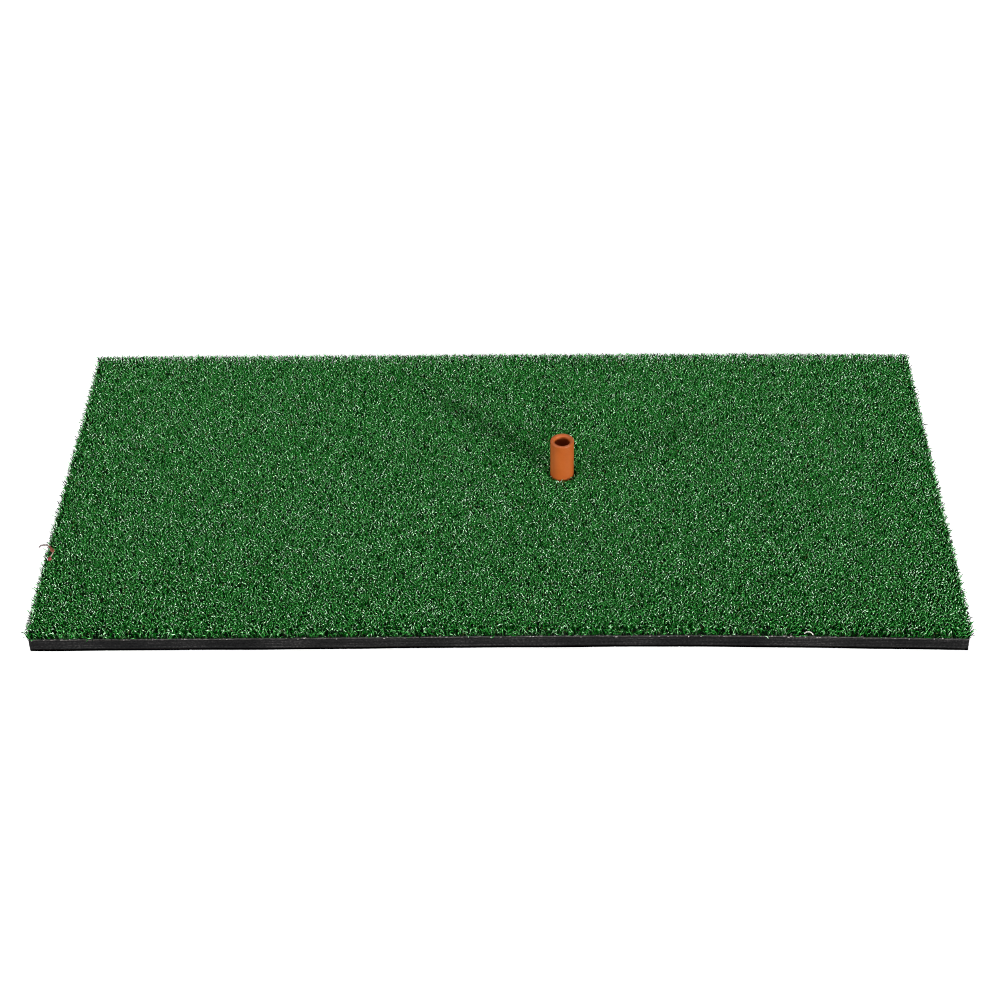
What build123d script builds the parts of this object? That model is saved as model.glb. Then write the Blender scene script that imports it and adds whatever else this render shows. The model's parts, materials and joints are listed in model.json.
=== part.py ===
from build123d import *
import os

# Golf hitting mat: a rectangle of tufted artificial turf bonded to a dark foam
# base, with a hollow rubber tee pushed up through a hole from underneath.
# Millimetres, +Z up, long side along X. The origin is the centre of the
# underside, so the mat rests on Z = 0.

# ---------------------------------------------------------------- mat layers
MAT_LENGTH = 600.0  # X
MAT_WIDTH = 300.0  # Y
FOAM_THICKNESS = 9.0  # closed-cell foam base
FILM_THICKNESS = 0.2  # contact adhesive between foam and turf carpet
LATEX_THICKNESS = 0.4  # precoat that locks the tuft roots
CLOTH_THICKNESS = 0.4  # woven primary backing that the yarn is tufted through
PILE_HEIGHT = 7.5  # bulk height of the curled pile above the backing

# Underside of each layer above the foam
FILM_Z = FOAM_THICKNESS
LATEX_Z = FILM_Z + FILM_THICKNESS
CLOTH_Z = LATEX_Z + LATEX_THICKNESS
PILE_Z = CLOTH_Z + CLOTH_THICKNESS
MAT_TOP = PILE_Z + PILE_HEIGHT

# ---------------------------------------------------------------- rubber tee
TEE_XY = (43.0, 12.0)  # tee axis, off the mat's centre
TEE_AXIS = Axis((*TEE_XY, 0), (0, 0, 1))
TEE_HEIGHT = 45.0  # underside of the flange to the rim
TEE_D = 16.2  # outside of the tube
TEE_BORE_D = 10.8
FLANGE_D = 38.0
FLANGE_THICKNESS = 3.0
FLANGE_EDGE_RADIUS = 0.8
ROOT_RADIUS = 1.2  # fillet where the stem leaves the flange
RIM_RADIUS = 0.9  # rounded outer lip of the rim
SEAT_CHAMFER = 1.0  # seat for the ball on the inner lip
NECK_BOTTOM = MAT_TOP  # the tee flexes in this length, just above the pile
NECK_TOP = 28.0

# ----------------------------------------------- hole for the tee in the mat
HOLE_D = TEE_D + 0.2  # punched through foam, adhesive, latex and cloth
PILE_HOLE_D = 17.0  # the pile parts a little wider round the tee
POCKET_D = FLANGE_D + 0.6  # pressed into the foam's underside for the flange
POCKET_DEPTH = FLANGE_THICKNESS + 0.2
POCKET_CHAMFER = 1.4  # clears the fillet at the root of the stem

# The plain layers above the foam: name -> (underside Z, thickness, hole diameter)
PLAIN_LAYERS = {
    "adhesive_film": (FILM_Z, FILM_THICKNESS, HOLE_D),
    "latex_precoat": (LATEX_Z, LATEX_THICKNESS, HOLE_D),
    "primary_backing": (CLOTH_Z, CLOTH_THICKNESS, HOLE_D),
    "turf_pile": (PILE_Z, PILE_HEIGHT, PILE_HOLE_D),
}


def circular_edges(piece, diameter):
    """Circular edges of one diameter, lowest first."""
    return (
        piece.edges()
        .filter_by(GeomType.CIRCLE)
        .filter_by(lambda edge: abs(edge.radius - diameter / 2) < 0.01)
        .sort_by(Axis.Z)
    )


def top_circles(piece):
    """Circular edges at the highest level, smallest first."""
    circles = piece.edges().filter_by(GeomType.CIRCLE)
    return circles.group_by(Axis.Z)[-1].sort_by(lambda edge: edge.radius)


def make_foam_base():
    """Square-cut sheet with the tee hole and a pocket that lets the flange lie flush."""
    with BuildPart() as foam:
        with BuildSketch(Plane.XY):
            Rectangle(MAT_LENGTH, MAT_WIDTH)
            with Locations(TEE_XY):
                Circle(HOLE_D / 2, mode=Mode.SUBTRACT)
        extrude(amount=FOAM_THICKNESS)
        with BuildSketch(Plane.XY):
            with Locations(TEE_XY):
                Circle(POCKET_D / 2)
        extrude(amount=POCKET_DEPTH, mode=Mode.SUBTRACT)
        # The hole's lowest edge is now at the pocket's ceiling
        chamfer(circular_edges(foam, HOLE_D)[0], length=POCKET_CHAMFER)
    return foam.part


def make_plain_layer(bottom, thickness, hole_d):
    """Full-size sheet with one round hole for the tee."""
    with BuildPart() as layer:
        with BuildSketch(Plane.XY.offset(bottom)):
            Rectangle(MAT_LENGTH, MAT_WIDTH)
            with Locations(TEE_XY):
                Circle(hole_d / 2, mode=Mode.SUBTRACT)
        extrude(amount=thickness)
    return layer.part


# The tee is one hollow moulding, cut across into three so that it can bend:
# base, neck and cup.
def make_tee_base():
    """Flange and the stem buried in the mat, bored through."""
    with BuildPart() as base:
        with BuildSketch(Plane.XY):
            with Locations(TEE_XY):
                Circle(FLANGE_D / 2)
        extrude(amount=FLANGE_THICKNESS)
        with BuildSketch(Plane.XY.offset(FLANGE_THICKNESS)):
            with Locations(TEE_XY):
                Circle(TEE_D / 2)
        extrude(amount=NECK_BOTTOM - FLANGE_THICKNESS)
        fillet(circular_edges(base, TEE_D)[0], radius=ROOT_RADIUS)
        fillet(circular_edges(base, FLANGE_D)[-1], radius=FLANGE_EDGE_RADIUS)
        with BuildSketch(Plane.XY):
            with Locations(TEE_XY):
                Circle(TEE_BORE_D / 2)
        extrude(amount=NECK_BOTTOM, mode=Mode.SUBTRACT)
    return base.part


def make_tee_neck():
    """Short tube that flexes."""
    with BuildPart() as neck:
        with BuildSketch(Plane.XY.offset(NECK_BOTTOM)):
            with Locations(TEE_XY):
                Circle(TEE_D / 2)
                Circle(TEE_BORE_D / 2, mode=Mode.SUBTRACT)
        extrude(amount=NECK_TOP - NECK_BOTTOM)
    return neck.part


def make_tee_cup():
    """Upper tube, whose rim carries the ball."""
    # Local x is the distance from the tee axis, local y is the height
    section = Plane(origin=(*TEE_XY, 0), x_dir=(1, 0, 0), z_dir=(0, -1, 0))
    with BuildPart() as cup:
        with BuildSketch(section):
            with BuildLine():
                Polyline(
                    (TEE_BORE_D / 2, NECK_TOP),
                    (TEE_D / 2, NECK_TOP),
                    (TEE_D / 2, TEE_HEIGHT),
                    (TEE_BORE_D / 2, TEE_HEIGHT),
                    close=True,
                )
            make_face()
        revolve(axis=TEE_AXIS)
        fillet(top_circles(cup)[-1], radius=RIM_RADIUS)
        chamfer(top_circles(cup)[0], length=SEAT_CHAMFER)
    return cup.part


# ------------------------------------------------------------------- export
pieces = {"foam_base": make_foam_base()}
for name, dimensions in PLAIN_LAYERS.items():
    pieces[name] = make_plain_layer(*dimensions)
pieces["tee_base"] = make_tee_base()
pieces["tee_neck"] = make_tee_neck()
pieces["tee_cup"] = make_tee_cup()

os.makedirs("parts", exist_ok=True)
for name, piece in pieces.items():
    piece.label = name
    export_step(piece, f"parts/{name}.step")
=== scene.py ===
"""A golf practice mat with a rubber tee: foam, adhesive, latex, woven backing and curled turf.

The mat lies on the floor around z = 0, long side along x, with its front edge towards -y.
The tee stands in a round hole through every layer, its flange in a pocket under the foam.
Units are metres; MM turns millimetres into them.
"""

import json
import math

import bpy
import numpy as np
from mathutils import Matrix, Vector
from mathutils.geometry import delaunay_2d_cdt


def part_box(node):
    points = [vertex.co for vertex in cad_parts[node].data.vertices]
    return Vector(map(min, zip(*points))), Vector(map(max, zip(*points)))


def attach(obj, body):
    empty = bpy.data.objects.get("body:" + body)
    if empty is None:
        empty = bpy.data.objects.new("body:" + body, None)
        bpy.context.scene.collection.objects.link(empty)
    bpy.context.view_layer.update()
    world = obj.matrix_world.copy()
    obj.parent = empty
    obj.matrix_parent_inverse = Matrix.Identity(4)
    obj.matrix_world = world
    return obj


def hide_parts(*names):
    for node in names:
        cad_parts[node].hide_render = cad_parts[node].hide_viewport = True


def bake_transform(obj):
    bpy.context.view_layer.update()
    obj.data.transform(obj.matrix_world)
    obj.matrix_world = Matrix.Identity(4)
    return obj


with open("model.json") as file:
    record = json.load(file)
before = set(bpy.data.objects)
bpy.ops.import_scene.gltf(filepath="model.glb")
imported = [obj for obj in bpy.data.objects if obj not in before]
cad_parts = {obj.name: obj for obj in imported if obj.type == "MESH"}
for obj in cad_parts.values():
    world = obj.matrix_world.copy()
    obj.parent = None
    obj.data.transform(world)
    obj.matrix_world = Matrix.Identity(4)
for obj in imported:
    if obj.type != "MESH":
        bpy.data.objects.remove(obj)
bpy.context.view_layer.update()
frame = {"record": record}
MM = 0.001


def z_span(piece):
    """Bottom and top of a CAD piece."""
    low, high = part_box(piece)
    return float(low[2]), float(high[2])


def bore_radius():
    mount = next(m for m in frame["record"]["mounts"] if m["name"] == "tee_bore")
    return mount["dims"]["r_mm"] * MM


HALF_X, HALF_Y = (float(size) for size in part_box("foam_base")[1][:2])
FOAM_BOTTOM, FOAM_TOP = z_span("foam_base")
CLOTH_BOTTOM, CLOTH_TOP = z_span("primary_backing")
PILE_BOTTOM, PILE_TOP = z_span("turf_pile")
CUP_LOW, CUP_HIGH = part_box("tee_cup")
STEM_LOW, STEM_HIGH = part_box("tee_base")

TEE_X = float(CUP_LOW[0] + CUP_HIGH[0]) / 2
TEE_Y = float(CUP_LOW[1] + CUP_HIGH[1]) / 2
TEE_R = float(CUP_HIGH[0] - CUP_LOW[0]) / 2
TEE_TOP = float(CUP_HIGH[2])
BORE_R = bore_radius()
FLANGE_R = float(STEM_HIGH[0] - STEM_LOW[0]) / 2
FLANGE_T = 3.0 * MM
HOLE_R = TEE_R + 0.1 * MM
POCKET_R = FLANGE_R + 0.3 * MM

UV_NAME = "OFBake"


# ------------------------------------------------------------ shape functions
def smooth_step(start, end, x):
    t = np.clip((x - start) / (end - start), 0, 1)
    return t * t * (3 - 2 * t)


def near(distance, reach_mm):
    """1 at distance 0, falling off as a bell."""
    return np.exp(-((distance / (reach_mm * MM)) ** 2))


def fade(distance, reach_mm):
    """1 at distance 0, falling off exponentially."""
    return np.exp(-distance / (reach_mm * MM))


# Lift of the front edge off the floor: x, z in mm
EDGE_LIFT = np.array([
    (-300, 0), (-210, 0.6), (-150, 1.05), (-100, 1.6), (-50, 2.2), (0, 2.7), (50, 3.05),
    (90, 3.3), (130, 3.25), (170, 2.8), (210, 2.0), (250, 1.0), (300, 0),
]) * MM


def smoothed_lift():
    """The lift table sampled every 0.5 mm, smoothed over 60 mm and set to 0 at x = +-300 mm."""
    x = np.linspace(-0.32, 0.32, 1281)
    window = np.hanning(121)
    z = np.interp(x, EDGE_LIFT[:, 0], EDGE_LIFT[:, 1])
    z = np.convolve(np.pad(z, 60, mode="edge"), window / window.sum(), "valid")
    return x, z - 0.5 * (z[40] + z[-41])


LIFT_X, LIFT_Z = smoothed_lift()


def bow(x, y):
    """Height of the mat off the floor: most at the front edge, a little at the back."""
    along = np.clip(np.interp(x, LIFT_X, LIFT_Z), 0, None)
    front = (1 - smooth_step(-1.0 * HALF_Y, 0.05 * HALF_Y, y)) ** 1.2
    back = 0.28 * smooth_step(0.35 * HALF_Y, 1.0 * HALF_Y, y)
    return along * (front + back)


def lumps(x, y, scale, seed):
    """Smooth random field, about -1 to 1, made of plane waves."""
    random = np.random.default_rng(seed)
    field = np.zeros_like(x)
    for _ in range(14):
        angle = random.uniform(0, 2 * math.pi)
        wave = 2 * math.pi / (scale * random.uniform(0.6, 1.7))
        run = x * math.cos(angle) + y * math.sin(angle)
        field += np.sin(wave * run + random.uniform(0, 2 * math.pi))
    return field / 5.3


# ------------------------------------------------------------ node helpers
class Graph:
    """A node tree. Its methods take sockets or plain values, and hand back output sockets."""

    def __init__(self, tree):
        self.tree = tree

    def put(self, socket, value):
        if isinstance(value, bpy.types.NodeSocket):
            self.tree.links.new(value, socket)
        else:
            socket.default_value = value

    def fill(self, node, **inputs):
        """Fill inputs by name, with _ for a space."""
        for name, value in inputs.items():
            self.put(node.inputs[name.replace("_", " ")], value)

    def surface(self, **inputs):
        self.fill(self.tree.nodes["Principled BSDF"], **inputs)

    def add(self, kind, settings=None, **inputs):
        """Add a node and return all its outputs."""
        node = self.tree.nodes.new("ShaderNode" + kind)
        for name, value in (settings or {}).items():
            setattr(node, name, value)
        self.fill(node, **inputs)
        return node.outputs

    def place(self):
        return self.add("TexCoord")["Object"]

    def uv(self):
        separate = self.add("SeparateXYZ", Vector=self.add("UVMap", {"uv_map": UV_NAME})[0])
        return separate[0], separate[1]

    def noise(self, place, scale, detail, roughness=0.5):
        return self.add("TexNoise", Vector=place, Scale=scale, Detail=detail,
                        Roughness=roughness)[0]

    def ramp(self, factor, stops, interpolation="LINEAR"):
        """Colour ramp through (position, colour) stops; a single number is a grey."""
        node = self.tree.nodes.new("ShaderNodeValToRGB")
        elements = node.color_ramp.elements
        node.color_ramp.interpolation = interpolation
        while len(elements) < len(stops):
            elements.new(0.5)
        for element, (position, colour) in zip(elements, stops):
            element.position = position
            rgb = colour if isinstance(colour, tuple) else (colour,) * 3
            element.color = (*rgb, 1.0)
        self.put(node.inputs[0], factor)
        return node.outputs[0]

    def math(self, operation, *values):
        node = self.tree.nodes.new("ShaderNodeMath")
        node.operation = operation
        for socket, value in zip(node.inputs, values):
            self.put(socket, value)
        return node.outputs[0]

    def mix(self, blend, factor, first, second):
        node = self.tree.nodes.new("ShaderNodeMix")
        node.data_type = "RGBA"
        node.blend_type = blend
        for index, value in ((0, factor), (6, first), (7, second)):
            self.put(node.inputs[index], value)
        return node.outputs[2]


def material(name):
    made = bpy.data.materials.new(name)
    made.use_nodes = True
    return made, Graph(made.node_tree)


# ------------------------------------------------------------ materials
# Yarn colours from deep to bright green, repeated by how common each is
GREENS = (
    [(0.000, 0.008, 0.001)] * 3
    + [(0.001, 0.052, 0.003)] * 3
    + [(0.003, 0.122, 0.007)] * 3
    + [(0.011, 0.190, 0.018)] * 4
    + [(0.030, 0.274, 0.038)] * 4
    + [(0.063, 0.364, 0.072)] * 4
    + [(0.124, 0.474, 0.130)] * 3
    + [(0.236, 0.606, 0.244)] * 2
    + [(0.420, 0.776, 0.422)] * 2
)
# After the greens: an olive, two near-blacks, and a red that no filament takes
YARNS = GREENS + [(0.070, 0.100, 0.028)] + [(0.001, 0.010, 0.002)] * 2 + [(0.260, 0.030, 0.022)]
OLIVE = len(GREENS)
FIRST_BLACK = OLIVE + 1


def turf_material():
    """u picks the yarn colour, v runs from root to tip."""
    made, graph = material("turf_yarn")
    pick, along = graph.uv()
    stops = [(i / len(YARNS), colour) for i, colour in enumerate(YARNS)]
    tone = graph.ramp(pick, stops, "CONSTANT")
    # painted shade and highlight along the yarn: dark at the root, where the pile shades it, and
    # bright where the filament bends over into the light
    light = graph.ramp(along, [
        (0.0, (0.02, 0.03, 0.02)), (0.32, (0.06, 0.09, 0.06)), (0.54, (0.38, 0.45, 0.38)),
        (0.70, (1.06, 1.05, 1.06)), (0.86, (1.32, 1.23, 1.32)), (1.0, (0.62, 0.70, 0.62))])
    colour = graph.mix("MULTIPLY", 1.0, tone, light)
    # painted glints: light and dark bands along the yarn stand in for the crimp catching the
    # light; they start at a place set by its colour
    yarn = graph.math("FLOOR", graph.math("MULTIPLY", pick, float(len(YARNS))))
    start = graph.add("TexWhiteNoise", {"noise_dimensions": "1D"}, W=yarn)[0]
    wave = graph.math("SINE", graph.math("ADD", graph.math("MULTIPLY", along, 15.0),
                                         graph.math("MULTIPLY", start, 6.283)))
    painted_glints = graph.ramp(graph.math("ADD", graph.math("MULTIPLY", wave, 0.5), 0.5), [
        (0.0, (0.55, 0.62, 0.55)), (0.45, (0.85, 0.90, 0.85)),
        (0.80, (1.35, 1.20, 1.35)), (1.0, (1.90, 1.50, 1.90))])
    graph.surface(Base_Color=graph.mix("MULTIPLY", 1.0, colour, painted_glints),
                  Roughness=0.36, Specular_IOR_Level=0.02)
    return made


def foam_material():
    made, graph = material("foam_rubber")
    place = graph.place()
    cells = graph.add("TexVoronoi", Vector=place, Scale=1500.0)["Distance"]
    fine = graph.noise(place, scale=700.0, detail=5.0, roughness=0.65)
    # noise squeezed in z into thin level streaks
    squeezed = graph.add("Mapping", Vector=place, Scale=(20.0, 20.0, 900.0))[0]
    slices = graph.noise(squeezed, scale=1.0, detail=3.0)
    broad = graph.noise(place, scale=28.0, detail=4.0)
    # shares of the three noises
    grain = graph.math("ADD", graph.math("MULTIPLY", fine, 0.45),
                       graph.math("ADD", graph.math("MULTIPLY", slices, 0.30),
                                  graph.math("MULTIPLY", broad, 0.25)))
    colour = graph.ramp(grain, [
        (0.38, (0.002, 0.002, 0.0024)), (0.47, (0.0075, 0.0075, 0.0077)),
        (0.53, (0.0135, 0.0132, 0.0134)), (0.60, (0.036, 0.034, 0.034)),
        (0.68, (0.115, 0.108, 0.104))])
    # painted contact shadow over the first 5 mm of height: near black along the lowest part
    # against the floor, a little lighter just above it
    rise = graph.add("Attribute", {"attribute_name": "rise"})["Fac"]
    foot = graph.ramp(graph.math("MULTIPLY", rise, 1 / 0.005),
                      [(0.0, 0.02), (0.30, 0.05), (0.42, 1.0), (0.52, 1.35), (0.75, 1.0)])
    pores = graph.ramp(cells, [(0.0, 0.25), (0.22, 0.8), (0.45, 1.0)])
    colour = graph.mix("MULTIPLY", 0.7, colour, pores)
    colour = graph.mix("MULTIPLY", 1.0, colour, foot)
    relief = graph.math("ADD", grain, graph.math("MULTIPLY", cells, 0.5))
    bump = graph.add("Bump", Strength=0.55, Distance=0.0002, Height=relief)[0]
    # the painted contact shadow also takes the gloss off the lowest part
    graph.surface(Base_Color=colour, Normal=bump, Roughness=0.80,
                  Specular_IOR_Level=graph.math("MULTIPLY", foot, 0.06))
    return made


def cloth_material():
    made, graph = material("backing_weave")
    place = graph.place()
    weave = graph.add("TexBrick", Vector=place, Scale=1.0, Color1=(0.036, 0.042, 0.036, 1),
                      Color2=(0.014, 0.017, 0.014, 1), Mortar=(0.004, 0.005, 0.004, 1),
                      Brick_Width=0.0016, Row_Height=0.0011, Mortar_Size=0.0001)[0]
    fine = graph.add("TexNoise", Vector=place, Scale=900.0, Detail=3.0)["Color"]
    graph.surface(Base_Color=graph.mix("OVERLAY", 0.6, weave, fine), Roughness=0.7)
    return made


def tape_material():
    """u picks the colour of the tape, v runs outwards along it."""
    made, graph = material("cut_tape_ends")
    pick, along = graph.uv()
    tone = graph.ramp(pick, [
        (0.0, (0.14, 0.13, 0.12)), (0.25, (0.36, 0.33, 0.32)), (0.42, (0.07, 0.07, 0.065)),
        (0.60, (0.03, 0.032, 0.03)), (0.74, (0.22, 0.20, 0.20)), (0.88, (0.58, 0.53, 0.51)),
    ], "CONSTANT")
    shadow = graph.ramp(along, [(0.0, 0.6), (1.0, 1.0)])
    graph.surface(Base_Color=graph.mix("MULTIPLY", 1.0, tone, shadow), Roughness=0.55)
    return made


def mottled_material(name, scale, detail, noise_roughness, stops, roughness):
    """A plain surface coloured by one noise."""
    made, graph = material(name)
    mottle = graph.noise(graph.place(), scale, detail, noise_roughness)
    graph.surface(Base_Color=graph.ramp(mottle, stops), Roughness=roughness)
    return made


def tee_material():
    made, graph = material("tee_rubber_orange")
    place = graph.place()
    broad = graph.noise(place, scale=95.0, detail=5.0, roughness=0.6)
    fine = graph.noise(place, scale=1600.0, detail=3.0)
    orange = graph.ramp(broad, [(0.25, (0.331, 0.064, 0.006)), (0.50, (0.390, 0.080, 0.008)),
                                (0.75, (0.450, 0.101, 0.013))])
    # scuffs where clubs and balls rub the lip, over the upper half of the top 12 mm
    z = graph.add("SeparateXYZ", Vector=place)[2]
    height = graph.math("DIVIDE", graph.math("SUBTRACT", z, TEE_TOP - 0.012), 0.012)
    lip = graph.ramp(height, [(0.0, 0.0), (0.55, 0.0), (1.0, 1.0)])
    scuff = graph.noise(place, scale=420.0, detail=6.0, roughness=0.75)
    patches = graph.ramp(scuff, [(0.52, 0.0), (0.68, 1.0)])
    worn = graph.math("MULTIPLY", graph.math("MULTIPLY", lip, patches), 0.45)
    relief = graph.math("ADD", fine, graph.math("MULTIPLY", scuff, 0.6))
    graph.surface(Base_Color=graph.mix("MIX", worn, orange, (0.54, 0.23, 0.09, 1.0)),
                  Roughness=graph.ramp(broad, [(0.3, 0.44), (0.7, 0.60)]),
                  Normal=graph.add("Bump", Strength=0.25, Distance=0.0001, Height=relief)[0],
                  Specular_IOR_Level=0.45)
    return made


def strand_material():
    """u picks the colour of the yarn, v runs along the strand."""
    made, graph = material("loose_yarn")
    pick, along = graph.uv()
    tone = graph.ramp(pick, [
        (0.0, (0.330, 0.270, 0.290)), (0.12, (0.300, 0.230, 0.200)),
        (0.30, (0.240, 0.085, 0.050)), (0.60, (0.330, 0.050, 0.055)),
        (0.80, (0.420, 0.330, 0.250)), (1.0, (0.900, 0.900, 0.860))])
    # light and dark rings along the strand, as of twisted plies
    wave = graph.math("SINE", graph.math("MULTIPLY", along, 210.0))
    wave = graph.math("ADD", graph.math("MULTIPLY", wave, 0.5), 0.5)
    plies = graph.ramp(wave, [(0.0, (0.62, 0.60, 0.60)), (1.0, 1.1)])
    graph.surface(Base_Color=graph.mix("MULTIPLY", 1.0, tone, plies), Roughness=0.7,
                  Specular_IOR_Level=0.2)
    return made


TURF_MATERIAL = turf_material()
FOAM_MATERIAL = foam_material()
CLOTH_MATERIAL = cloth_material()
TAPE_MATERIAL = tape_material()
LATEX_MATERIAL = mottled_material(
    "latex_precoat_filled", scale=260.0, detail=6.0, noise_roughness=0.7, roughness=0.6,
    stops=[(0.32, (0.012, 0.012, 0.011)), (0.50, (0.035, 0.033, 0.031)),
           (0.62, (0.11, 0.10, 0.096)), (0.72, (0.05, 0.046, 0.043))])
GLUE_MATERIAL = mottled_material(
    "contact_adhesive", scale=180.0, detail=4.0, noise_roughness=0.5, roughness=0.38,
    stops=[(0.35, (0.012, 0.011, 0.009)), (0.55, (0.050, 0.045, 0.036)),
           (0.75, (0.13, 0.115, 0.09))])
TEE_MATERIAL = tee_material()
STRAND_MATERIAL = strand_material()


# ------------------------------------------------------------ mesh helpers
def link_object(name, data):
    made = bpy.data.objects.new(name, data)
    bpy.context.scene.collection.objects.link(made)
    return made


def make_mesh(name, points, quads, material, triangles=(), uv=None, sharp_deg=None):
    """A smooth-shaded mesh object from arrays, with uv given per vertex."""
    mesh = bpy.data.meshes.new(name)
    quads = np.asarray(quads, np.int32)
    triangles = np.asarray(triangles, np.int32).reshape(-1, 3)
    loops = np.concatenate([quads.ravel(), triangles.ravel()])
    totals = np.repeat([4, 3], [len(quads), len(triangles)]).astype(np.int32)
    starts = (np.cumsum(totals) - totals).astype(np.int32)
    mesh.vertices.add(len(points))
    mesh.vertices.foreach_set("co", np.ascontiguousarray(points, np.float32).ravel())
    mesh.loops.add(len(loops))
    mesh.loops.foreach_set("vertex_index", loops)
    mesh.polygons.add(len(totals))
    mesh.polygons.foreach_set("loop_start", starts)
    mesh.polygons.foreach_set("loop_total", totals)
    mesh.materials.append(material)
    mesh.update(calc_edges=True)
    mesh.polygons.foreach_set("use_smooth", np.ones(len(totals), bool))
    if uv is not None:
        layer = mesh.uv_layers.new(name=UV_NAME)
        layer.data.foreach_set("uv", np.ascontiguousarray(uv[loops], np.float32).ravel())
    if sharp_deg is not None:
        mesh.set_sharp_from_angle(angle=math.radians(sharp_deg))
    mesh.validate(clean_customdata=False)
    return link_object(name, mesh)


def ring_quads(count, rings):
    """Quads joining successive rings of count points: here, next, next above, above."""
    here = np.arange(count)
    after = (here + 1) % count
    band = np.stack([here, after, after + count, here + count], 1)
    return np.concatenate([i * count + band for i in range(rings - 1)])


def outline(step):
    """Points round the mat's outline, anticlockwise, with outward normals."""
    corners = [(-HALF_X, -HALF_Y), (HALF_X, -HALF_Y), (HALF_X, HALF_Y), (-HALF_X, HALF_Y)]
    outward = [(0, -1), (1, 0), (0, 1), (-1, 0)]
    points, normals = [], []
    for side in range(4):
        (x0, y0), (x1, y1) = corners[side], corners[(side + 1) % 4]
        count = int(round(math.hypot(x1 - x0, y1 - y0) / step))
        for i in range(count):
            t = i / count
            points.append((x0 + (x1 - x0) * t, y0 + (y1 - y0) * t))
            normals.append(outward[side])
    points, normals = np.array(points), np.array(normals, float)
    corner = np.all(np.abs(np.abs(points) - [HALF_X, HALF_Y]) < 1e-7, axis=1)
    normals[corner] = np.sign(points[corner]) / math.sqrt(2)
    return points, normals


HOLE_SEGMENTS = 96
FACE_GRID = 0.010  # spacing of the free points inside a face


def hole_ring(radius):
    angle = np.arange(HOLE_SEGMENTS) / HOLE_SEGMENTS * 2 * math.pi
    return np.stack([TEE_X + radius * np.cos(angle), TEE_Y + radius * np.sin(angle)], 1)


def face_triangles(rim, radius):
    """Triangles between rim and hole, with the free points that follow those two in order."""
    grid_x, grid_y = np.meshgrid(
        np.arange(-HALF_X + FACE_GRID, HALF_X - FACE_GRID / 2, FACE_GRID),
        np.arange(-HALF_Y + FACE_GRID, HALF_Y - FACE_GRID / 2, FACE_GRID))
    free = np.stack([grid_x.ravel(), grid_y.ravel()], 1)
    from_tee = np.hypot(free[:, 0] - TEE_X, free[:, 1] - TEE_Y)
    free = free[from_tee > radius + FACE_GRID * 0.45]
    points = np.concatenate([rim, hole_ring(radius), free])
    count = len(rim)
    edges = [(i, (i + 1) % count) for i in range(count)]
    edges += [(count + i, count + (i + 1) % HOLE_SEGMENTS) for i in range(HOLE_SEGMENTS)]
    _, _, faces, sources, _, _ = delaunay_2d_cdt([Vector(p) for p in points], edges, [], 0, 1e-9)
    source = np.array([found[0] for found in sources])
    triangles = source[np.array(faces, int)]
    middle = points[triangles].mean(1)
    outside = np.hypot(middle[:, 0] - TEE_X, middle[:, 1] - TEE_Y) > radius * 0.9995
    triangles = triangles[outside]
    first, second, third = (points[triangles[:, i]] for i in range(3))
    area = np.cross(second - first, third - first)
    triangles[area < 0] = triangles[area < 0][:, ::-1]
    return triangles[np.abs(area) > 1e-13], free


def sheet(name, piece, material, rings, step, side_move, hole=None, face_move=None):
    """One layer of the mat: a closed slab with a round hole, in place of a CAD piece.

    rings is the number of levels up the side and step the spacing of its points.
    side_move(along, z) is the outward move of the side, face_move(x, y, top) the vertical
    move inside a face. hole lists (radius, z) upwards; without it the hole is straight.
    """
    bottom, top = z_span(piece)
    hole = hole or [(HOLE_R, bottom), (HOLE_R, top)]
    rim, normals = outline(step)
    count = len(rim)
    lengths = np.hypot(*(np.roll(rim, -1, 0) - rim).T)
    along = np.concatenate([[0], np.cumsum(lengths)])[:-1]
    points = []
    for z in bottom + (top - bottom) * np.linspace(0, 1, rings):
        moved = rim + normals * side_move(along, z)[:, None]
        points.append(np.column_stack([moved, np.full(count, z)]))
    for radius, z in hole:
        points.append(np.column_stack([hole_ring(radius), np.full(HOLE_SEGMENTS, z)]))
    hole_start = rings * count
    hole_quads = hole_start + ring_quads(HOLE_SEGMENTS, len(hole))[:, [1, 0, 3, 2]]
    quads = np.concatenate([ring_quads(count, rings), hole_quads])

    triangles = []
    free_start = hole_start + len(hole) * HOLE_SEGMENTS
    for level, z, rim_at, hole_at in (
            (0, bottom, 0, hole_start),
            (-1, top, hole_start - count, free_start - HOLE_SEGMENTS)):
        is_top = level == -1
        face, free = face_triangles(rim, hole[level][0])
        index = np.concatenate([rim_at + np.arange(count), hole_at + np.arange(HOLE_SEGMENTS),
                                free_start + np.arange(len(free))])
        move = face_move(free[:, 0], free[:, 1], is_top) if face_move else np.zeros(len(free))
        points.append(np.column_stack([free, z + move]))
        triangles.append(index[face] if is_top else index[face][:, ::-1])
        free_start += len(free)

    points = np.concatenate(points)
    # height above the sheet's own underside, which a lifted edge keeps
    rise = (points[:, 2] - bottom).astype(np.float32)
    points[:, 2] += bow(points[:, 0], points[:, 1])
    made = make_mesh(name, points, quads, material, np.concatenate(triangles), sharp_deg=40)
    made.data.attributes.new("rise", "FLOAT", "POINT").data.foreach_set("value", rise)
    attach(made, "mat")
    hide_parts(piece)


# ------------------------------------------------------------ foam base
def foam_side(along, z):
    """Knife-cut foam: long waviness, fine horizontal drag lines and small torn cells."""
    random = np.random.default_rng(int(z * 1e6) + 7)
    count = len(along)
    waviness = 0.10 * np.sin(along * 41.0 + 0.6) + 0.08 * np.sin(along * 97.0 + z * 400.0)
    drag = 0.05 * math.sin(z * 5200.0) + 0.04 * np.sin(z * 9100.0 + along * 60.0)
    torn = (-0.16 * np.clip(random.normal(0, 1, count) - 1.0, 0, 2.0)
            + 0.02 * random.normal(0, 1, count))
    bottom_edge = -0.12 * math.exp(-((z - FOAM_BOTTOM) / 0.0004) ** 2)
    return (waviness + drag + torn + bottom_edge) * MM


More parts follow.
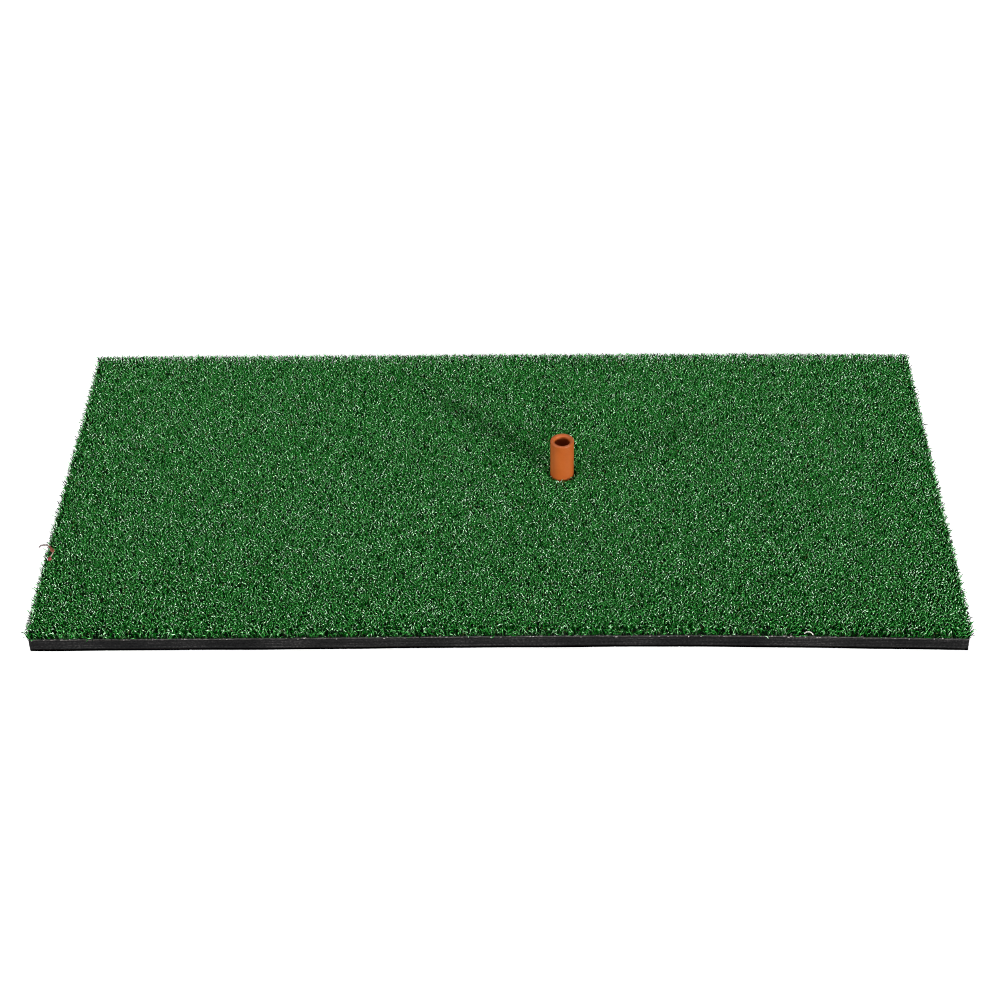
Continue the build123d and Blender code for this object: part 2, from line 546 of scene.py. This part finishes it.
def foam_face(x, y, top):
    """Flat on top, slightly lumpy underneath."""
    if top:
        return np.zeros_like(x)
    return 0.05 * MM * (1 + np.clip(lumps(x, y, 0.03, 3), -1, 1))


POCKET_TOP = FLANGE_T + 0.2 * MM
FOAM_HOLE = [  # radius, z: the flange's pocket, a step in, a bevel, then the straight hole
    (POCKET_R, FOAM_BOTTOM), (POCKET_R, FOAM_BOTTOM + 1.6 * MM),
    (POCKET_R - 0.1 * MM, POCKET_TOP), (HOLE_R + 5.5 * MM, POCKET_TOP),
    (HOLE_R + 1.4 * MM, POCKET_TOP), (HOLE_R, FLANGE_T + 1.6 * MM),
    (HOLE_R, 6.8 * MM), (HOLE_R, FOAM_TOP),
]
sheet("foam_sheet", "foam_base", FOAM_MATERIAL, rings=17, step=1.0 * MM,
      side_move=foam_side, hole=FOAM_HOLE, face_move=foam_face)


# ------------------------------------------------------------ adhesive, latex and cloth
def running_mean(values, width):
    return np.convolve(values, np.ones(width) / width, "same")


def film_side(along, z):
    """Beads of squeezed-out glue, the same at every level."""
    beads = running_mean(np.random.default_rng(21).normal(0, 1, len(along)), 3)
    return (-0.15 + 0.28 * np.clip(beads, -0.5, 1.2)) * MM


def latex_side(along, z):
    random = np.random.default_rng(int(z * 1e6) + 33)
    return (-0.05 + 0.16 * running_mean(random.normal(0, 1, len(along)), 2)) * MM


TAPE_PITCH_X = 0.00155
TAPE_PITCH_Y = 0.0022


def cloth_side(along, z):
    """Square steps of the tapes, with a little fray."""
    random = np.random.default_rng(int(z * 1e6) + 51)
    tapes = np.sign(np.sin(along / TAPE_PITCH_X * math.pi))
    return (-0.10 + 0.10 * tapes + 0.06 * random.normal(0, 1, len(along))) * MM


def cloth_face(x, y, top):
    return 0.06 * MM * (np.sin(x / TAPE_PITCH_X * math.pi) * np.sin(y / TAPE_PITCH_Y * math.pi))


sheet("adhesive_layer", "adhesive_film", GLUE_MATERIAL, rings=3, step=1.5 * MM,
      side_move=film_side)
sheet("latex_layer", "latex_precoat", LATEX_MATERIAL, rings=4, step=1.2 * MM,
      side_move=latex_side)
sheet("backing_cloth", "primary_backing", CLOTH_MATERIAL, rings=3,
      step=TAPE_PITCH_X / 2, side_move=cloth_side, face_move=cloth_face)


def tape_ends():
    """Cut ends of the backing's flat tapes, sticking a little out of the mat's edge all round."""
    random = np.random.default_rng(90)
    points, normals = outline(1.9 * MM)
    # the ends come in denser and thinner runs
    run = running_mean(random.normal(0, 1, len(points)), 7) * math.sqrt(7)
    keep = random.random(len(points)) < np.clip(0.52 + 0.28 * run, 0.10, 0.95)
    points, normals = points[keep], normals[keep]
    count = len(points)
    tangents = np.stack([-normals[:, 1], normals[:, 0]], 1)
    points = points + tangents * random.normal(0, 0.35 * MM, count)[:, None]
    lean = random.normal(0, 0.35, count)
    out = normals * np.cos(lean)[:, None] + tangents * np.sin(lean)[:, None]
    side = np.stack([-out[:, 1], out[:, 0]], 1)
    length = random.uniform(0.15, 0.75, count) * MM
    width = random.uniform(0.7, 1.6, count) * MM
    thick = random.uniform(0.10, 0.20, count) * MM
    droop = random.normal(0.05, 0.22, count) * MM
    z = random.uniform(CLOTH_BOTTOM - 0.2 * MM, CLOTH_TOP + 0.25 * MM, count)
    corners = []
    for t in (-1.2, 0.0, 0.55, 1.0):  # rings along the tape, the first 1.2 mm inside the mat
        reach = np.where(t < 0, t * MM, t * length)
        middle = points + out * reach[:, None]
        half_width = width * (1.0 if t < 1 else 0.82) / 2
        ring_z = z + droop * max(t, 0) ** 2
        for across, up in ((-1, -1), (1, -1), (1, 1), (-1, 1)):
            corners.append(np.column_stack([middle + side * (half_width * across)[:, None],
                                            ring_z + thick / 2 * up]))
    corners = np.stack(corners, 1).reshape(-1, 3)  # 16 to a tape
    corners[:, 2] += bow(corners[:, 0], corners[:, 1])
    tape_quads = np.concatenate([ring_quads(4, 4), [(3, 2, 1, 0), (12, 13, 14, 15)]])
    quads = tape_quads[:, None] + np.arange(count)[:, None] * 16
    u = np.repeat(random.random(count)[:, None] * 0.96 + 0.02, 16, 1)
    u += np.tile([-0.004, 0.0, 0.004, 0.0], 4)[None]
    v = np.repeat([0.05, 0.4, 0.7, 0.98], 4)[None].repeat(count, 0)
    made = make_mesh("backing_tape_ends", corners, quads.reshape(-1, 4), TAPE_MATERIAL,
                     uv=np.stack([u.ravel(), v.ravel()], 1), sharp_deg=35)
    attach(made, "mat")


tape_ends()


# ------------------------------------------------------------ turf pile
ROWS, STITCHES, TUFT = 160, 110, 9  # rows along x, tufts in a row, filaments in a tuft
ROWS_PER_PIECE = 5
RING_S = np.array([0.0, 0.34, 0.60, 0.82, 1.0])  # rings of a filament, root to tip
RINGS = len(RING_S)
PILE_H = PILE_TOP - PILE_BOTTOM
ROOT_SINK = 0.15 * MM  # how far the roots start below the pile
GREEN_TONES = np.array(GREENS) @ np.array([0.2126, 0.7152, 0.0722])


def rank_tone(rank):
    """How bright a filament of this rank is, about 0..1."""
    count = len(GREENS)
    return np.interp(rank * count, np.arange(count) + 0.5, GREEN_TONES) / GREEN_TONES[-1]


def spread_rank(x, y, random, tone=None):
    """A 0..1 rank per point, spread so that neighbours differ and no patch is high or low.

    With tone, it is the brightness belonging to the rank that evens out over each patch.
    """
    cell, margin = 0.4 * MM, 8 * MM
    shape = tuple(int((2 * half + 16 * MM) / cell) for half in (HALF_X, HALF_Y))
    i = np.clip(((x + HALF_X + margin) / cell).astype(int), 0, shape[0] - 1)
    j = np.clip(((y + HALF_Y + margin) / cell).astype(int), 0, shape[1] - 1)
    cells = i * shape[1] + j

    def spectrum(weights=None):
        binned = np.bincount(cells, weights=weights, minlength=shape[0] * shape[1])
        return np.fft.rfft2(binned.reshape(shape).astype(float))

    def at_points(blurred):
        return np.fft.irfft2(blurred, shape).ravel()[cells]

    # blur sizes in cells, how strongly each is evened out, and the number of passes
    sizes, gains, passes = ((2.9,), (1.6,), 14) if tone is None else ((2.6, 5.0), (0.5, 0.3), 18)
    freq_x, freq_y = np.fft.fftfreq(shape[0])[:, None], np.fft.rfftfreq(shape[1])[None]
    blurs = [np.exp(-2 * (math.pi * size) ** 2 * (freq_x ** 2 + freq_y ** 2)) for size in sizes]
    count = spectrum()
    densities = [np.maximum(at_points(count * blur), 1e-6) for blur in blurs]
    rank = random.random(len(x))
    for _ in range(passes):
        level = rank - 0.5
        if tone is not None:
            level = 0.35 * level + tone(rank) - tone(rank).mean()
        total = spectrum(level)
        value = rank.copy()
        for blur, density, gain in zip(blurs, densities, gains):
            value -= gain * at_points(total * blur) / density
        rank = np.empty(len(x))
        rank[np.argsort(value, kind="stable")] = (np.arange(len(x)) + 0.5) / len(x)
    return rank


def filament_places(random):
    """Where the upper part of each filament goes: x, y and row, with the fringe last.

    The fringe is the short outermost filaments along the cut edge. Its outward normals
    are returned as well.
    """
    count = ROWS * STITCHES * TUFT
    row = np.repeat(np.arange(ROWS), STITCHES * TUFT)
    stitch = np.tile(np.repeat(np.arange(STITCHES), TUFT), ROWS)
    pitch_x, pitch_y = 2 * HALF_X / ROWS, 2 * HALF_Y / STITCHES
    # a tuft's filaments fill a skewed three by three grid over its share of the surface
    k = np.tile(np.arange(TUFT), ROWS * STITCHES)
    grid_x, grid_y = k % 3 - 1, k // 3 - 1
    x = (-HALF_X + (row + 0.5 + grid_x / 3) * pitch_x
         + random.uniform(-0.36, 0.36, count) * pitch_x / 3)
    y = (-HALF_Y + (stitch + 0.5 + grid_y / 3) * pitch_y + 0.33 * pitch_y * grid_x * 0.5
         + random.uniform(-0.36, 0.36, count) * pitch_y / 3)
    rim, normals = outline(0.30 * MM)
    count = len(rim)
    inset = random.uniform(0.2, 1.3, count) * MM
    rim_x, rim_y = (
        rim[:, i] - normals[:, i] * inset
        + random.normal(0, 0.3, count) * MM * np.abs(normals[:, 1 - i]) for i in (0, 1))
    rim_row = np.clip(((rim_x + HALF_X) / pitch_x).astype(int), 0, ROWS - 1)
    return (np.concatenate([x, rim_x]), np.concatenate([y, rim_y]),
            np.concatenate([row, rim_row]), normals)


def push_clear(x, y, radius):
    """Move points nearer the tee's axis than radius out to it."""
    distance = np.hypot(x - TEE_X, y - TEE_Y)
    scale = np.maximum(distance, radius) / np.maximum(distance, 1e-6)
    return TEE_X + (x - TEE_X) * scale, TEE_Y + (y - TEE_Y) * scale


def tube_corners(path, heading, roll, random):
    """Flattened three-sided section at every ring of each path: (filament, ring, corner, xyz)."""
    count = len(path)
    tangent = np.gradient(path, axis=1)
    tangent /= np.linalg.norm(tangent, axis=2, keepdims=True)
    level = np.cross(tangent, np.array([0, 0, 1.0]))
    size = np.linalg.norm(level, axis=2, keepdims=True)
    # an upright stretch has no level direction of its own, so it takes one from the heading
    cos, sin = np.cos(heading)[:, None], np.sin(heading)[:, None]
    level = np.where(size > 0.05, level / np.maximum(size, 1e-6),
                     np.stack([-sin, cos, 0 * cos], -1))
    normal = np.cross(level, tangent)
    roll = roll[..., None]
    across = level * np.cos(roll) + normal * np.sin(roll)
    up = -level * np.sin(roll) + normal * np.cos(roll)
    # sizes in mm, with their taper over the rings
    width = (random.uniform(0.38, 0.60, count)[:, None]
             * np.array([0.80, 1.0, 1.0, 1.0, 0.62])[None] * MM)
    thick = (random.uniform(0.20, 0.30, count)[:, None]
             * np.array([0.9, 1.0, 1.0, 1.0, 0.6])[None] * MM)
    width, thick = (width / 2)[..., None], (thick / 2)[..., None]
    return np.stack([path - across * width - up * thick * 0.7,
                     path + across * width - up * thick * 0.7,
                     path + up * thick * 1.3], 2)


def filaments():
    """Tube corners, yarn index, row and v at the root of every filament."""
    random = np.random.default_rng(59)
    hold_x, hold_y, row, normals = filament_places(random)
    count, fringe_count = len(hold_x), len(normals)
    fringe = np.arange(count) >= count - fringe_count

    def spread(tone=None):
        return spread_rank(hold_x, hold_y, random, tone)

    # lean to one side or the other, and crimp: an uneven spiral
    side = np.where(spread() < 0.5, -1.0, 1.0)
    lean_x = side * (0.8 + 2.2 * spread()) * MM
    lean_y = 3.6 * (spread() - 0.5) * MM + random.normal(0, 0.3, count) * MM
    lean_x[fringe] *= np.where(np.abs(normals[:, 0]) > 0.5, 0.35, 1.0)
    lean_y[fringe] *= np.where(np.abs(normals[:, 1]) > 0.5, 0.35, 1.0)
    coil_r = random.uniform(0.22, 0.62, count) * MM
    squash = random.uniform(0.35, 1.0, count)
    heading = random.uniform(0, 2 * math.pi, count)
    turns = random.uniform(0.60, 1.10, count) * np.where(random.random(count) < 0.5, -1, 1)
    phase = 2 * math.pi * spread()
    lean_power = np.where(fringe, 1.0, 1.6)

    def offset(s, lean_x, lean_y, coil_r):
        """Sideways move from the root at s, which runs from 0 to 1 along the filament."""
        angle = phase[:, None] + 2 * math.pi * turns[:, None] * s ** 1.15
        grow = smooth_step(0.0, 0.35, s)
        major = (np.cos(angle) - np.cos(phase)[:, None] * (1 - grow)) * coil_r[:, None] * grow
        minor = ((np.sin(angle) - np.sin(phase)[:, None] * (1 - grow))
                 * (coil_r * squash)[:, None] * grow)
        cos, sin = np.cos(heading)[:, None], np.sin(heading)[:, None]
        weight = s ** lean_power[:, None]
        return (lean_x[:, None] * weight + major * cos - minor * sin,
                lean_y[:, None] * weight + major * sin + minor * cos)

    # the even spread is that of the upper part, so each root sits back from it
    back_x, back_y = (np.where(fringe, 0, move[:, 0])
                      for move in offset(np.array([[0.78]]), lean_x, lean_y, coil_r))
    limit_x, limit_y = HALF_X - 0.2 * MM, HALF_Y - 0.2 * MM
    root_x = np.clip(hold_x - back_x, -limit_x, limit_x)
    root_y = np.clip(hold_y - back_y, -limit_y, limit_y)
    clear_r = HOLE_R + 0.7 * MM
    keep = ((np.hypot(hold_x - TEE_X, hold_y - TEE_Y) > HOLE_R + 0.2 * MM)
            | (np.hypot(root_x - TEE_X, root_y - TEE_Y) > clear_r))
    root_x, root_y = push_clear(root_x, root_y, clear_r)
    from_tee = np.hypot(root_x - TEE_X, root_y - TEE_Y)
    rank = spread(rank_tone)
    edge_x, edge_y = HALF_X - np.abs(root_x), HALF_Y - np.abs(root_y)
    to_back, to_front = HALF_Y - root_y, root_y + HALF_Y

    # height: bright filaments stand a little prouder, all are shorter right round the tee
    height = PILE_H * (0.92 + 0.006 * lumps(root_x, root_y, 0.050, 11) + 0.15 * rank
                       + random.uniform(-0.04, 0.04, count))
    height *= 1 - 0.22 * near(from_tee - HOLE_R, 2.0)
    height = np.clip(height, 0.55 * PILE_H, 1.22 * PILE_H)
    at_back, at_front = normals[:, 1] > 0.5, normals[:, 1] < -0.5
    tall = random.random(fringe_count) < np.where(at_back, 0.85, 0.5)
    height[fringe] *= np.where(
        tall, random.uniform(0.98, 1.16, fringe_count) - 0.10 * at_back - 0.17 * at_front,
        random.uniform(0.28, 0.80, fringe_count))
    height *= 1 + 0.12 * near(to_back, 4.0)

    # near the mat's edge filaments splay outwards, round the tee they lean away and curl less
    def splay(edge):
        return fade(edge, 2.6) * (0.5 + 3.6 * random.random(count) ** 1.5) * MM

    splay_x = np.sign(root_x) * splay(edge_x)
    splay_y = np.sign(root_y) * (splay(edge_y) * np.where(root_y > 0, 0.45, 1.0))
    away = fade(from_tee - HOLE_R, 2.0) * MM
    lean_x = lean_x + splay_x + (root_x - TEE_X) / from_tee * away
    lean_y = lean_y + splay_y + (root_y - TEE_Y) / from_tee * away
    coil_r = coil_r * (1 - 0.6 * fade(from_tee - HOLE_R, 1.6))

    s = RING_S[None]
    move_x, move_y = offset(s, lean_x, lean_y, coil_r)
    x, y = root_x[:, None] + move_x, root_y[:, None] + move_y
    climb = 1 - (1 - s) ** random.uniform(1.25, 2.1, count)[:, None]
    z = PILE_BOTTOM - ROOT_SINK + (height[:, None] + ROOT_SINK) * climb
    # droop of what hangs over the edge
    z -= np.clip(np.maximum(np.abs(x) - HALF_X, np.abs(y) - HALF_Y), 0, None) * 0.30
    # keep every point out of the tee
    distance = np.hypot(x - TEE_X, y - TEE_Y)
    clear_r = HOLE_R + 0.55 * MM
    scale = np.where(distance < clear_r, clear_r / np.maximum(distance, 1e-6), 1.0)
    x, y = TEE_X + (x - TEE_X) * scale, TEE_Y + (y - TEE_Y) * scale
    z += bow(x, y)

    roll = 1.9 * (spread() - 0.5)[:, None] + random.normal(0, 0.4, count)[:, None] * s
    corners = tube_corners(np.stack([x, y, z], -1), heading, roll, random)

    # yarn: greens by rank, with painted shade: darker along the edges and slightly darker towards
    # the back
    shade = 0.16 * near(edge_x, 1.8) + 0.34 * near(to_back, 2.0)
    shade = shade + 0.15 * near(to_front, 2.0)
    green = np.clip(rank - shade * random.random(count)
                    - 0.020 * smooth_step(-0.4 * HALF_Y, 0.8 * HALF_Y, root_y), 0.0, 0.9999)
    yarn = np.clip((green * len(GREENS)).astype(int), 0, len(GREENS) - 1)
    odd = spread()
    black = odd > 0.945
    yarn[odd < 0.012] = OLIVE
    yarn[black] = FIRST_BLACK + (random.random(black.sum()) < 0.5)
    # the outermost filaments of the front get less of the painted root shade, as they are lit
    # down to the backing
    foot = 0.02 + 0.45 * near(to_front, 1.7)
    return corners[keep], yarn[keep], row[keep], foot[keep]


def turf():
    corners, yarn, row, foot = filaments()
    tube_quads = ring_quads(3, RINGS)[:, [0, 3, 2, 1]]
    tip = (RINGS - 1) * 3
    tube_ends = np.array([(0, 1, 2), (tip + 2, tip + 1, tip)])
    for group in range(ROWS // ROWS_PER_PIECE):
        picked = np.where(row // ROWS_PER_PIECE == group)[0]
        count = len(picked)
        start = np.arange(count)[:, None, None] * (RINGS * 3)
        u = ((yarn[picked][:, None, None] + np.array([0.3, 0.7, 0.5])[None, None]) / len(YARNS)
             + np.zeros((1, RINGS, 1)))
        root_v = foot[picked][:, None]
        v = (root_v + (0.98 - root_v) * RING_S[None])[..., None] + np.zeros((count, 1, 3))
        made = make_mesh(
            f"turf_rows_{group + 1:02d}", corners[picked].reshape(-1, 3),
            (start + tube_quads[None]).reshape(-1, 4), TURF_MATERIAL,
            (start + tube_ends[None]).reshape(-1, 3), uv=np.stack([u.ravel(), v.ravel()], 1))
        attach(made, "mat")
    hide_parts("turf_pile")


turf()


# ------------------------------------------------------------ stray threads
# Radius in mm, colour (u of the loose yarn) at first and last point, points in mm
THREADS = (
    # 1 to 4: a thread caught in the left edge, one end hanging clear of the mat
    (0.50, (0.0, 0.12), [
        (-307.2, -67.0, 16.4), (-306.2, -65.5, 16.8), (-304.4, -65.5, 17.4),
        (-302.2, -66.6, 18.4), (-300.4, -67.6, 18.8)]),
    (0.66, (0.28, 0.36), [
        (-300.4, -67.8, 18.7), (-298.8, -69.6, 19.3), (-297.2, -71.8, 19.6),
        (-295.6, -73.4, 19.6), (-296.4, -74.5, 19.5), (-297.5, -73.4, 19.8),
        (-296.7, -72.5, 20.0)]),
    (0.40, (0.78, 0.86), [(-295.7, -75.0, 19.4), (-296.0, -77.2, 19.4), (-296.8, -79.4, 19.1)]),
    (0.72, (0.54, 0.64), [
        (-296.6, -79.4, 19.0), (-297.4, -80.4, 18.9), (-297.5, -81.7, 18.8),
        (-296.5, -82.1, 19.0), (-296.1, -81.0, 19.3)]),
    # 5: a pale one on the front edge
    (0.38, (0.99, 0.92), [
        (194.4, -151.3, 13.6), (195.4, -151.5, 15.0), (196.8, -151.8, 15.8),
        (198.2, -152.0, 15.6), (199.4, -151.9, 14.4), (200.2, -151.6, 12.6)]),
)
STRAND_SEGMENTS = 7


def smooth_curve(knots):
    """Catmull-Rom curve through the knots, in 8 steps between each two."""
    last = len(knots) - 1
    t = np.linspace(0, last, last * 8 + 1)
    i = np.clip(t.astype(int), 0, last - 1)
    u = (t - i)[:, None]
    before, start, end = knots[np.maximum(i - 1, 0)], knots[i], knots[i + 1]
    after = knots[np.minimum(i + 2, last)]
    return 0.5 * (2 * start + (end - before) * u
                  + (2 * before - 5 * start + 4 * end - after) * u ** 2
                  + (3 * start - before - 3 * end + after) * u ** 3)


def strand(name, radius, shade, knots):
    """A loose end of yarn as a round tube along a smooth curve, closed at both ends."""
    path = smooth_curve(np.array(knots, float) * MM)
    path[:, 2] += bow(path[:, 0], path[:, 1])
    count = len(path)
    tangent = np.gradient(path, axis=0)
    tangent /= np.linalg.norm(tangent, axis=1, keepdims=True)
    across = np.cross(tangent, [0.3, 0.2, 1.0])
    across /= np.linalg.norm(across, axis=1, keepdims=True)
    up = np.cross(tangent, across)
    s = np.linspace(0, 1, count)
    taper = np.minimum(1.0, 6 * np.minimum(s, 1 - s) + 0.35)
    path_r = radius * MM * taper * (1 + 0.10 * np.sin(s * 23.0) + 0.05 * np.sin(s * 51.0 + 1.0))
    angle = np.arange(STRAND_SEGMENTS) / STRAND_SEGMENTS * 2 * math.pi
    # two twisted plies show as a groove that winds round the strand
    plies = np.cos(2 * (angle[None] - 26.0 * s[:, None]))
    ring = ((across[:, None] * np.cos(angle)[None, :, None]
             + up[:, None] * np.sin(angle)[None, :, None])
            * (path_r[:, None] * (1 + 0.14 * plies))[..., None])
    points = np.concatenate([(path[:, None] + ring).reshape(-1, 3), path[:1], path[-1:]])
    here = np.arange(STRAND_SEGMENTS)
    after = (here + 1) % STRAND_SEGMENTS
    first_tip = count * STRAND_SEGMENTS
    last_ring = first_tip - STRAND_SEGMENTS
    triangles = np.concatenate([
        np.stack([after, here, np.full(STRAND_SEGMENTS, first_tip)], 1),
        np.stack([here + last_ring, after + last_ring,
                  np.full(STRAND_SEGMENTS, first_tip + 1)], 1)])
    band = shade[0] + (shade[1] - shade[0]) * s
    u = np.clip(band[:, None] + 0.03 * plies, 0.01, 0.99)
    uv = np.concatenate([np.stack([u, s[:, None] + 0 * u], -1).reshape(-1, 2),
                         [[band[0], 0.0], [band[-1], 1.0]]])
    made = make_mesh(name, points, ring_quads(STRAND_SEGMENTS, count), STRAND_MATERIAL,
                     triangles, uv=uv)
    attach(made, "mat")


for number, thread in enumerate(THREADS, 1):
    strand(f"stray_thread_{number}", *thread)


# ------------------------------------------------------------ rubber tee
def tee_profile():
    """(radius, z) once round the section: up the outside, over the rim, down the bore."""
    profile = []

    def arc(radius, z, size, start_deg, end_deg, steps):
        for i in range(steps + 1):
            angle = math.radians(start_deg + (end_deg - start_deg) * i / steps)
            profile.append((radius + size * math.cos(angle), z + size * math.sin(angle)))

    foot_r, shoulder_r, fillet_r, rim_r = 0.35 * MM, 0.8 * MM, 1.2 * MM, 0.9 * MM
    # flange
    profile.append((FLANGE_R - 0.5 * MM, 0.0))
    arc(FLANGE_R - foot_r, foot_r, foot_r, -90, 0, 4)
    arc(FLANGE_R - shoulder_r, FLANGE_T - shoulder_r, shoulder_r, 0, 90, 6)
    for t in (0.75, 0.5, 0.25):
        flat = FLANGE_R - shoulder_r - TEE_R - fillet_r
        profile.append((TEE_R + fillet_r + flat * t, FLANGE_T))
    # filleted root and stem
    arc(TEE_R + fillet_r, FLANGE_T + fillet_r, fillet_r, 270, 180, 7)
    stem_bottom, stem_top = FLANGE_T + 2.2 * MM, TEE_TOP - rim_r
    for i in range(57):
        profile.append((TEE_R, stem_bottom + (stem_top - stem_bottom) * i / 56))
    # rounded rim and the bevel into the bore
    arc(TEE_R - rim_r, TEE_TOP - rim_r, rim_r, 0, 90, 8)
    lip_r = BORE_R + 1.0 * MM
    profile += [(lip_r + 0.12 * MM, TEE_TOP), (lip_r - 0.05 * MM, TEE_TOP - 0.04 * MM),
                (BORE_R + 0.5 * MM, TEE_TOP - 0.5 * MM),
                (BORE_R + 0.08 * MM, TEE_TOP - 0.92 * MM)]
    # bore and underside
    for i in range(61):
        profile.append((BORE_R, (TEE_TOP - 1.15 * MM) * (1 - i / 60) + 0.3 * MM * (i / 60)))
    profile += [(BORE_R + out * MM, 0.0) for out in (0.3, 4.0, 9.0)]
    profile = np.array(profile)
    repeated = np.hypot(*np.diff(profile, axis=0).T) <= 1e-7
    return profile[~np.concatenate([[False], repeated])].T


def tee():
    """One turned moulding: flange, filleted root, hollow stem and rounded rim."""
    profile_r, profile_z = tee_profile()
    count, segments = len(profile_r), 160
    angle = np.arange(segments) / segments * 2 * math.pi
    top_start = int(np.argmax(profile_z >= TEE_TOP - 1e-9))
    outer_stem = (profile_z > FLANGE_T + 1.0 * MM) * (np.arange(count) < top_start)
    # parting line of the two mould halves, a slight ovality, and an uneven lip
    from_line = np.abs(((angle - 0.35 + math.pi / 2) % math.pi) - math.pi / 2)
    parting = 0.07 * MM * np.exp(-((from_line / 0.022) ** 2))
    oval = 0.05 * MM * np.cos(2 * (angle - 0.8))
    radius = (profile_r[:, None] + outer_stem[:, None] * parting[None]
              + oval[None] * (profile_z > FLANGE_T)[:, None])
    uneven = 0.09 * MM * np.sin(2 * angle + 1.0) + 0.05 * MM * np.sin(5 * angle + 0.3)
    z = (profile_z[:, None]
         + smooth_step(TEE_TOP - 3 * MM, TEE_TOP, profile_z)[:, None] * uneven[None])
    x = TEE_X + radius * np.cos(angle)[None]
    y = TEE_Y + radius * np.sin(angle)[None]
    # the last ring joins the first
    quads = ring_quads(segments, count + 1) % (count * segments)
    made = make_mesh("rubber_tee", np.stack([x, y, z], -1).reshape(-1, 3), quads, TEE_MATERIAL,
                     sharp_deg=50)
    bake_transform(made)
    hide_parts("tee_base", "tee_neck", "tee_cup")


tee()


# ------------------------------------------------------------ floor, light, camera
def floor():
    mesh = bpy.data.meshes.new("floor")
    half, z = 6.0, -0.05 * MM
    mesh.from_pydata([(-half, -half, z), (half, -half, z), (half, half, z), (-half, half, z)],
                     [], [(0, 1, 2, 3)])
    made = link_object("floor", mesh)
    paint, graph = material("studio_floor")
    # the floor glows a little for the camera, but not under the tee, or it would shine up
    # through the bore
    seen = graph.add("LightPath")["Is Camera Ray"]
    place = graph.add("SeparateXYZ", Vector=graph.place())
    from_tee = graph.math("MAXIMUM", *(
        graph.math("ABSOLUTE", graph.math("SUBTRACT", place[i], middle))
        for i, middle in enumerate((TEE_X, TEE_Y))))
    clear = graph.math("GREATER_THAN", from_tee, POCKET_R + 10 * MM)
    glow = graph.math("MULTIPLY", graph.math("MULTIPLY", seen, clear), 0.60)
    graph.surface(Base_Color=(0.86, 0.86, 0.86, 1), Roughness=0.9, Specular_IOR_Level=0.1,
                  Emission_Color=(1, 1, 1, 1), Emission_Strength=glow)
    mesh.materials.append(paint)


def studio_world():
    """Soft light from all round, and a white backdrop past the floor for the camera alone."""
    world = bpy.data.worlds.new("studio")
    bpy.context.scene.world = world
    world.use_nodes = True
    graph = Graph(world.node_tree)
    seen = graph.add("LightPath")["Is Camera Ray"]
    strength = graph.math("ADD", graph.math("MULTIPLY", seen, 1.0), 0.20)
    graph.fill(world.node_tree.nodes["Background"], Color=(1, 1, 1, 1), Strength=strength)


SUNS = (  # name, azimuth from +x and elevation in degrees, strength, angular size in degrees
    ("key_front_right", -45.0, 12.5, 3.2, 7.0),
    ("fill_front_left", -153.0, 13.5, 1.8, 5.0),
    ("front_soft", -83.0, 14.5, 0.8, 5.0),
    ("overhead", 95.0, 70.0, 1.0, 12.0),
)


def suns():
    for name, azimuth, elevation, strength, size in SUNS:
        light = bpy.data.lights.new(name, "SUN")
        light.energy = strength
        light.angle = math.radians(size)
        made = link_object(name, light)
        turn, lift = math.radians(azimuth), math.radians(elevation)
        towards = Vector((math.cos(turn) * math.cos(lift), math.sin(turn) * math.cos(lift),
                          math.sin(lift)))
        made.rotation_euler = towards.to_track_quat("Z", "Y").to_euler()
        made.location = towards * 3


def camera():
    """In front of the mat and above it, looking down and towards the back."""
    position = (0.022, -1.134, 0.930)
    pitch, yaw, roll = math.radians(39.32), math.radians(1.08), math.radians(-0.80)
    forward = Vector((-math.sin(yaw) * math.cos(pitch), math.cos(yaw) * math.cos(pitch),
                      -math.sin(pitch)))
    level = Vector((math.cos(yaw), math.sin(yaw), 0))
    upright = level.cross(forward)
    right = math.cos(roll) * level + math.sin(roll) * upright
    up = -math.sin(roll) * level + math.cos(roll) * upright
    lens = bpy.data.cameras.new("camera")
    lens.sensor_fit = "HORIZONTAL"
    lens.sensor_width = 36.0
    lens.lens = 75.80838323
    lens.clip_start = 0.01
    lens.clip_end = 50
    made = link_object("camera", lens)
    rows = [(right[i], up[i], -forward[i], position[i]) for i in range(3)]
    made.matrix_world = Matrix((*rows, (0, 0, 0, 1)))
    bpy.context.scene.camera = made


floor()
studio_world()
suns()
camera()
scene = bpy.context.scene
scene.view_settings.view_transform = "Standard"
scene.view_settings.look = "None"
scene.cycles.filter_width = 1.0  # crisp edges
scene.cycles.denoising_prefilter = "NONE"  # keeps every filament
